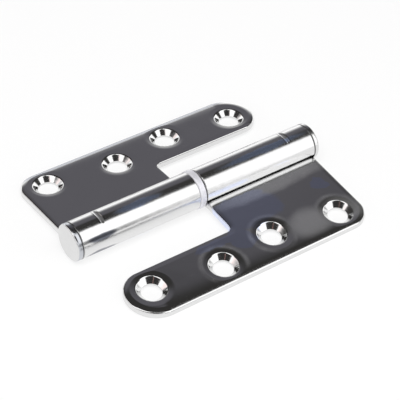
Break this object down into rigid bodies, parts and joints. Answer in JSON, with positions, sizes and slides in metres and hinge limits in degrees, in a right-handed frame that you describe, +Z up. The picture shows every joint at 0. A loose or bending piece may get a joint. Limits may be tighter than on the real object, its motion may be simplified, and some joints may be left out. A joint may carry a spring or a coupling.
{
  "type": "flag hinge",
  "caption": "Lift-off door hinge: equal rolled steel leaves with countersunk screw holes on one pin, with a bearing ring between the knuckles.",
  "frame": {"origin": "on the surface that the opened hinge lies on, under the middle of the barrel", "axes": "+X along the barrel towards the socket leaf's knuckle, +Y towards the pin leaf, +Z up out of the faces with the countersinks"},
  "size_m": [0.1128, 0.0894, 0.0155],
  "materials": {
    "polished_leaf": "mirror polished",
    "turned_steel": "bright turned",
    "ring_steel": "satin"
  },
  "bodies": {
    "pin_half": {"pin_leaf": "polished_leaf", "hinge_pin": "turned_steel"},
    "ring_carrier": {"bearing_ring": "ring_steel"},
    "socket_half": {"socket_leaf": "polished_leaf", "end_plug": "turned_steel"}
  },
  "joints": [
    {"name": "leaf_swing", "type": "hinge", "parent": "pin_half", "child": "ring_carrier", "pos_m": [0, 0, 0.00775], "axis": [-1, 0, 0], "range_deg": [-145, 189]},
    {"name": "lift_off", "type": "slide", "parent": "ring_carrier", "child": "socket_half", "axis": [1, 0, 0], "range_m": [-0.0004, 0.04]}
  ]
}
